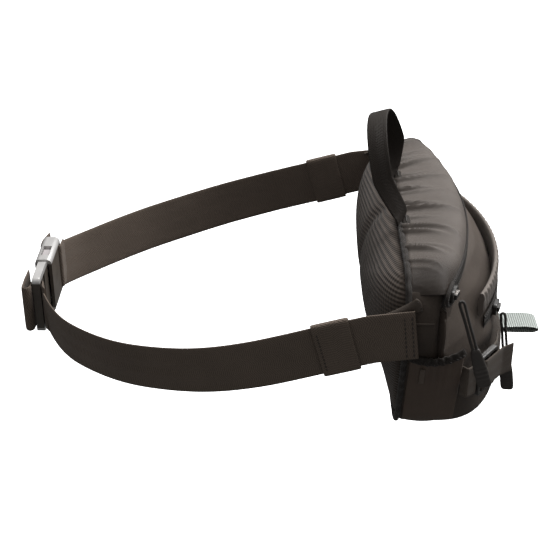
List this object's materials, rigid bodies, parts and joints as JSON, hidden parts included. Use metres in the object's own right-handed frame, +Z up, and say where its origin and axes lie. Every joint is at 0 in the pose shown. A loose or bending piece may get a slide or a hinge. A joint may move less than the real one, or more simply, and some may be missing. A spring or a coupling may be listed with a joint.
{
  "type": "waist pack",
  "caption": "Padded waist pack with a curved zipped body, front pocket, stretch side pockets, haul handle, webbing belt and side-release buckle.",
  "frame": {"origin": "middle of the waist opening, at belt height", "axes": "+Z up, -Y the bag's front, +Y the buckle, +X across the waist to the right seen from behind the buckle"},
  "size_m": [0.2758, 0.4005, 0.2153],
  "materials": {
    "shell_nylon": "matte ripstop nylon",
    "top_nylon": "soft sheen nylon",
    "spacer_mesh": "knitted spacer mesh",
    "foam": "closed-cell foam",
    "backing": "matte sheet",
    "binding": "matte tape",
    "webbing": "woven, matte",
    "buckle_plastic": "satin",
    "hardware_plastic": "satin",
    "slider_metal": "satin",
    "pull_cord": "braided",
    "reflective_tape": "ribbed reflective tape"
  },
  "bodies": {
    "pack": {"main_shell": "shell_nylon", "top_panel": "top_nylon", "back_sheet": "backing", "back_foam": "foam", "back_mesh": "spacer_mesh", "back_binding": "binding", "front_pocket": "shell_nylon", "main_zip": "binding", "front_zip": "binding", "front_welt": "shell_nylon", "handle_tacks": "webbing", "side_pocket_left": "shell_nylon", "side_pocket_right": "shell_nylon", "pocket_hem_left": "binding", "pocket_hem_right": "binding", "hip_anchor_left": "webbing", "hip_anchor_right": "webbing", "hip_fin_left": "shell_nylon", "hip_fin_right": "shell_nylon", "strap_anchor_left": "webbing", "strap_anchor_right": "webbing", "strap_front_left": "webbing", "strap_front_right": "webbing"},
    "belt": {"belt_strap_left": "webbing", "belt_strap_right": "webbing", "buckle_female": "buckle_plastic", "buckle_male": "buckle_plastic", "belt_tail": "webbing", "belt_fold": "webbing"},
    "left_keeper": {"keeper_left": "webbing"},
    "right_keeper": {"keeper_right": "webbing"},
    "upper_prong": {"prong_upper": "buckle_plastic"},
    "lower_prong": {"prong_lower": "buckle_plastic"},
    "main_slider": {"main_slider": "slider_metal"},
    "main_pull": {"main_pull_cord": "pull_cord", "main_pull_tab": "hardware_plastic"},
    "front_slider": {"front_slider": "slider_metal"},
    "front_pull": {"front_pull_cord": "pull_cord", "front_pull_tab": "hardware_plastic"},
    "light_loop": {"light_loop": "reflective_tape"},
    "haul_handle": {"haul_handle": "webbing"},
    "left_lock": {"ladder_lock_left": "hardware_plastic", "strap_tail_left": "webbing"},
    "right_lock": {"ladder_lock_right": "hardware_plastic", "strap_tail_right": "webbing"}
  },
  "joints": [
    {"name": "belt_swing", "type": "hinge", "parent": "pack", "child": "belt", "pos_m": [0, -0.127, 0.019], "axis": [1, 0, 0], "range_deg": [-30, 50]},
    {"name": "left_keeper_slide", "type": "slide", "parent": "belt", "child": "left_keeper", "axis": [0, 0.9654, -0.2607], "range_m": [0, 0.03]},
    {"name": "right_keeper_slide", "type": "slide", "parent": "belt", "child": "right_keeper", "axis": [0, 0.9654, -0.2607], "range_m": [0, 0.03]},
    {"name": "upper_prong_squeeze", "type": "hinge", "parent": "belt", "child": "upper_prong", "pos_m": [-0.0034, 0.12, -0.003], "axis": [0, 1, 0], "range_deg": [0, 12], "stiffness_Nm_per_rad": 0.05},
    {"name": "lower_prong_squeeze", "type": "hinge", "parent": "belt", "child": "lower_prong", "pos_m": [-0.0034, 0.12, -0.031], "axis": [0, -1, 0], "range_deg": [0, 12], "stiffness_Nm_per_rad": 0.05},
    {"name": "main_zip_travel", "type": "hinge", "parent": "pack", "child": "main_slider", "pos_m": [0, 0.111, 0.0465], "axis": [0, 0, 1], "range_deg": [0, 45]},
    {"name": "main_pull_lift", "type": "hinge", "parent": "main_slider", "child": "main_pull", "pos_m": [-0.12334, -0.18677, 0.0425], "axis": [-0.9239, 0.3827, 0], "range_deg": [0, 135]},
    {"name": "front_zip_travel", "type": "hinge", "parent": "pack", "child": "front_slider", "pos_m": [0, -0.04, 0], "axis": [0, 0, 1], "range_deg": [0, 40]},
    {"name": "front_pull_swing", "type": "hinge", "parent": "front_slider", "child": "front_pull", "pos_m": [-0.06119, -0.22831, -0.004], "axis": [-0.9511, 0.309, 0], "range_deg": [0, 110]},
    {"name": "light_loop_bend", "type": "hinge", "parent": "pack", "child": "light_loop", "pos_m": [0, -0.241, -0.05], "axis": [1, 0, 0], "range_deg": [-70, 75], "stiffness_Nm_per_rad": 0.01},
    {"name": "handle_fold", "type": "hinge", "parent": "pack", "child": "haul_handle", "pos_m": [0, -0.151, 0.0679], "axis": [1, 0, 0], "range_deg": [-70, 95], "stiffness_Nm_per_rad": 0.03},
    {"name": "left_lock_tilt", "type": "hinge", "parent": "pack", "child": "left_lock", "pos_m": [-0.10993, -0.20524, -0.028], "axis": [0, 0, -1], "range_deg": [0, 35]},
    {"name": "right_lock_tilt", "type": "hinge", "parent": "pack", "child": "right_lock", "pos_m": [0.10993, -0.20524, -0.028], "axis": [0, 0, 1], "range_deg": [0, 35]}
  ],
  "couplings": [
    {"joint": "main_pull_lift", "follows": "main_zip_travel", "ratio": 3},
    {"joint": "front_pull_swing", "follows": "front_zip_travel", "ratio": 2.75}
  ]
}
